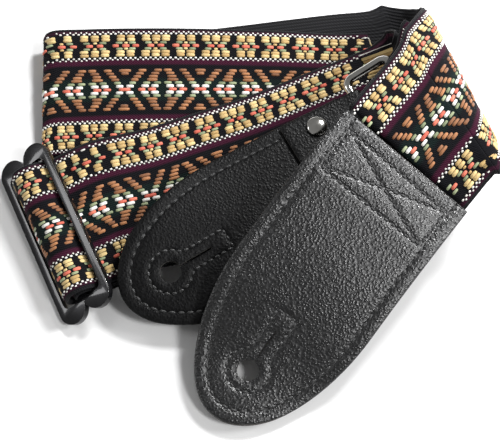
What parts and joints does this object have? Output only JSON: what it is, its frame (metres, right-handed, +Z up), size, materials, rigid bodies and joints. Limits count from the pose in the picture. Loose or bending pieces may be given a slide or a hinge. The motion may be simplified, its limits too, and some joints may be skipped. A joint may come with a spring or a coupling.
{
  "type": "guitar strap",
  "caption": "Folded guitar strap: patterned woven ribbon on black webbing, with leather keyhole tabs, a wire ring held by a riveted flap, and a cast slider.",
  "frame": {"origin": "bottom centre of the bounding box of the folded strap as it lies", "axes": "+X along the long side of the fold, towards the outer curl; +Z up from the surface it lies on"},
  "size_m": [0.1704, 0.1622, 0.0391],
  "materials": {
    "black_leather": "pebbled, half gloss",
    "black_suede": "matt, fibrous flesh side",
    "black_thread": "bonded thread, slight sheen",
    "jacquard_ribbon": "raised woven floats in tan, coral, sage, brown and white on black",
    "black_webbing": "ribbed, matt",
    "black_metal": "glossy black, bright worn edges",
    "polished_nickel": "polished"
  },
  "bodies": {
    "strap": {"jacquard_ribbon": "jacquard_ribbon", "rear_edge_thread": "black_thread", "rear_keyhole_thread": "black_thread", "rear_tab_back": "black_suede", "rear_tab_face": "black_leather", "ring_flap": "black_leather", "rivet_back_front": "polished_nickel", "rivet_back_rear": "polished_nickel", "rivet_head_front": "polished_nickel", "rivet_head_rear": "polished_nickel", "rivet_post_front": "polished_nickel", "rivet_post_rear": "polished_nickel", "webbing": "black_webbing"},
    "front_tab": {"front_box_thread": "black_thread", "front_cross_thread_a": "black_thread", "front_edge_thread": "black_thread", "front_keyhole_thread": "black_thread", "front_tab_back": "black_suede", "front_tab_face": "black_leather", "strap_end_in_front_tab": "black_webbing"},
    "ring": {"ring": "polished_nickel"},
    "slider": {"slider_frame": "black_metal"}
  },
  "joints": [
    {"name": "front_tab_lift", "type": "hinge", "parent": "strap", "child": "front_tab", "pos_m": [0.05261, -0.00047, 0.03164], "axis": [-0.7432, 0.6018, 0.2924], "range_deg": [0, 60]},
    {"name": "ring_swing", "type": "hinge", "parent": "strap", "child": "ring", "pos_m": [0.04942, 0.01189, 0.01411], "axis": [-0.4973, 0.8613, 0.1045], "range_deg": [-1, 3.5]},
    {"name": "slider_tilt", "type": "hinge", "parent": "strap", "child": "slider", "pos_m": [-0.06457, -0.01511, 0.00701], "axis": [0.4289, -0.9032, -0.0175], "range_deg": [-1, 3]}
  ]
}
